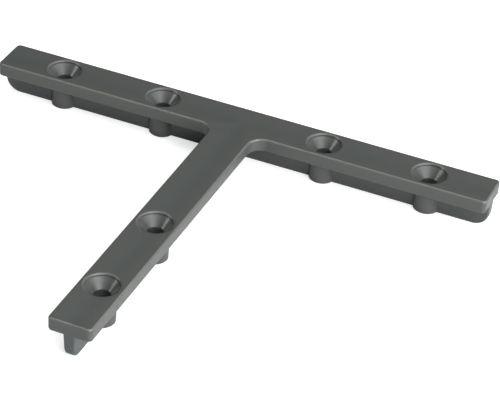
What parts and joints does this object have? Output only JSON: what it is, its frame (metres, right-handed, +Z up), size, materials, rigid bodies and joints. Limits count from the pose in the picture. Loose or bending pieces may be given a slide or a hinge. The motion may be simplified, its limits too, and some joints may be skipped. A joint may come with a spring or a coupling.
{
  "type": "frame connector",
  "caption": "Flat T-shaped plastic plate that joins framing members at a right angle, with a rib and screw bosses beneath and countersunk screw holes along each arm.",
  "frame": {"origin": "on the resting plane (the foot of the rib and bosses), under the middle of the plate's outline", "axes": "+X along the crossbar, -Y along the stem towards its free end, +Z up through the countersunk face"},
  "size_m": [0.167, 0.126, 0.0125],
  "materials": {
    "moulded_plastic": "dark grey, satin as moulded"
  },
  "bodies": {
    "root": {"frame_connector": "moulded_plastic"}
  },
  "joints": []
}
